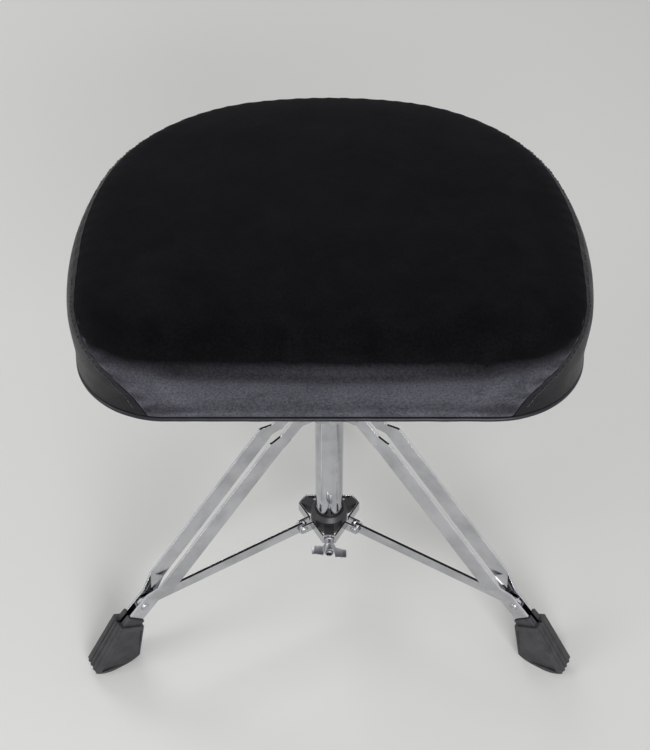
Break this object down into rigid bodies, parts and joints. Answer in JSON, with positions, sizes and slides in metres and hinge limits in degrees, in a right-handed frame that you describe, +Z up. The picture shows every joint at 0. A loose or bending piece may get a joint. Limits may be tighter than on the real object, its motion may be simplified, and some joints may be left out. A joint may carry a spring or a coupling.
{
  "type": "drum throne",
  "caption": "Padded saddle drum throne on a threaded spindle and a folding double-braced chrome tripod with rubber feet.",
  "frame": {"origin": "on the column's axis, at the level of the floor under the feet", "axes": "+Z up along the column; the sitter faces -Y; +X to the sitter's left hand side seen from the front as right"},
  "size_m": [0.511, 0.4425, 0.47],
  "materials": {
    "chrome_tube": "polished chrome plate",
    "chrome_plate": "polished chrome plate",
    "plated_steel": "bright zinc plate",
    "cast_zinc": "plated casting",
    "black_plastic": "satin",
    "black_nylon": "satin",
    "rubber": "moulded matt",
    "painted_steel": "satin black",
    "plywood": "raw birch plywood",
    "foam": "open cell foam",
    "velour": "short black pile",
    "vinyl": "grained black vinyl",
    "vinyl_piping": "smooth black vinyl",
    "dust_cloth": "thin black non-woven"
  },
  "bodies": {
    "base": {"column_tube": "chrome_tube", "column_end_plug": "black_plastic", "spindle_nut": "plated_steel", "hub_sleeve": "cast_zinc", "front_hub_plate": "chrome_plate", "left_hub_plate": "chrome_plate", "right_hub_plate": "chrome_plate", "hub_clamp_bolt": "plated_steel", "left_hub_rivet": "plated_steel", "right_hub_rivet": "plated_steel", "rear_hub_rivet": "plated_steel"},
    "leg_left": {"left_leg_far_strip": "chrome_plate", "left_leg_near_strip": "chrome_plate", "left_foot": "rubber", "left_foot_rivets": "plated_steel"},
    "leg_right": {"right_leg_far_strip": "chrome_plate", "right_leg_near_strip": "chrome_plate", "right_foot": "rubber", "right_foot_rivets": "plated_steel"},
    "leg_rear": {"rear_leg_far_strip": "chrome_plate", "rear_leg_near_strip": "chrome_plate", "rear_foot": "rubber", "rear_foot_rivets": "plated_steel"},
    "collar": {"collar_bushing": "black_nylon", "wing_bolt_nut": "plated_steel", "front_collar_plate": "chrome_plate", "left_collar_plate": "chrome_plate", "right_collar_plate": "chrome_plate", "left_collar_rivet": "plated_steel", "right_collar_rivet": "plated_steel", "rear_collar_rivet": "plated_steel", "strut_spacers": "plated_steel"},
    "strut_left": {"left_strut": "chrome_plate"},
    "strut_right": {"right_strut": "chrome_plate"},
    "strut_rear": {"rear_strut": "chrome_plate"},
    "wing_bolt": {"wing_bolt_screw": "plated_steel", "wing_bolt_head": "chrome_plate"},
    "lock_ring": {"lock_ring": "cast_zinc", "lock_lever": "chrome_plate"},
    "spindle": {"spindle": "plated_steel", "thrust_washer": "plated_steel", "retaining_washer": "plated_steel", "retaining_bolt": "plated_steel"},
    "seat": {"seat_bearing": "black_nylon", "seat_bracket": "painted_steel", "seat_bolts": "plated_steel", "board_inserts": "plated_steel", "seat_board": "plywood", "seat_foam": "foam", "velour_top": "velour", "vinyl_band": "vinyl", "cover_hem": "vinyl", "dust_cover": "dust_cloth", "edge_welt": "vinyl_piping"}
  },
  "joints": [
    {"name": "left_leg_fold", "type": "hinge", "parent": "base", "child": "leg_left", "pos_m": [-0.03074, -0.01775, 0.264], "axis": [0.5, -0.866, 0], "range_deg": [0, 36.84]},
    {"name": "right_leg_fold", "type": "hinge", "parent": "base", "child": "leg_right", "pos_m": [0.03074, -0.01775, 0.264], "axis": [0.5, 0.866, 0], "range_deg": [0, 36.84]},
    {"name": "rear_leg_fold", "type": "hinge", "parent": "base", "child": "leg_rear", "pos_m": [0, 0.0355, 0.264], "axis": [-1, 0, 0], "range_deg": [0, 36.84]},
    {"name": "collar_slide", "type": "slide", "parent": "base", "child": "collar", "axis": [0, 0, 1], "range_m": [0, 0.10476]},
    {"name": "left_strut_turn", "type": "hinge", "parent": "collar", "child": "strut_left", "pos_m": [-0.02901, -0.01675, 0.082], "axis": [0.5, -0.866, 0], "range_deg": [0, 76.5]},
    {"name": "right_strut_turn", "type": "hinge", "parent": "collar", "child": "strut_right", "pos_m": [0.02901, -0.01675, 0.082], "axis": [0.5, 0.866, 0], "range_deg": [0, 76.5]},
    {"name": "rear_strut_turn", "type": "hinge", "parent": "collar", "child": "strut_rear", "pos_m": [0, 0.0335, 0.082], "axis": [-1, 0, 0], "range_deg": [0, 76.5]},
    {"name": "wing_bolt_turn", "type": "hinge", "parent": "collar", "child": "wing_bolt", "pos_m": [0, -0.04, 0.082], "axis": [0, -1, 0], "range_deg": [0, 720]},
    {"name": "lock_ring_turn", "type": "hinge", "parent": "base", "child": "lock_ring", "pos_m": [0, 0, 0.31], "axis": [0, 0, 1], "range_deg": [-180, 180]},
    {"name": "seat_height", "type": "slide", "parent": "base", "child": "spindle", "axis": [0, 0, 1], "range_m": [0, 0.15]},
    {"name": "seat_spin", "type": "hinge", "parent": "spindle", "child": "seat", "pos_m": [0, 0, 0.34], "axis": [0, 0, 1], "continuous": true}
  ],
  "couplings": [
    {"joint": "right_leg_fold", "follows": "left_leg_fold", "ratio": 1},
    {"joint": "rear_leg_fold", "follows": "left_leg_fold", "ratio": 1},
    {"joint": "collar_slide", "follows": "left_leg_fold", "m_per_rad": 0.16274},
    {"joint": "left_strut_turn", "follows": "left_leg_fold", "ratio": 2.0749},
    {"joint": "right_strut_turn", "follows": "left_leg_fold", "ratio": 2.0749},
    {"joint": "rear_strut_turn", "follows": "left_leg_fold", "ratio": 2.0749}
  ]
}
